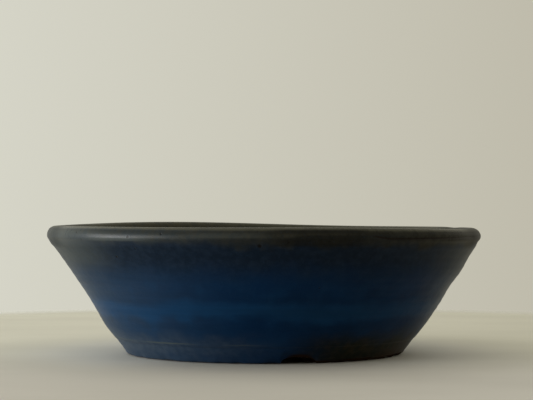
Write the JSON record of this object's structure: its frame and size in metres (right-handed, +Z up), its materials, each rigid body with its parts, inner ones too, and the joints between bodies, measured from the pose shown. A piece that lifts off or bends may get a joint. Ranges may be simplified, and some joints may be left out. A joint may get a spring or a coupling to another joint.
{
  "type": "bonsai pot",
  "caption": "Shallow round hand-thrown bonsai pot with a rolled uneven lip, flared walls, notched foot ring, and drain holes covered by mesh screens held with wire clips.",
  "frame": {"origin": "on the ground, under the middle of the pot", "axes": "+Z up through the middle of the pot, -Y towards the side that the picture shows, +X to the picture's right"},
  "size_m": [0.2005, 0.1994, 0.0595],
  "materials": {
    "blue_glaze": "satin",
    "black_netting": "matte",
    "clip_wire": "satin"
  },
  "bodies": {
    "root": {"pot_body": "blue_glaze", "drain_screen_1": "black_netting", "drain_screen_2": "black_netting", "drain_screen_3": "black_netting", "screen_clip_1": "clip_wire", "screen_clip_2": "clip_wire", "screen_clip_3": "clip_wire"}
  },
  "joints": []
}
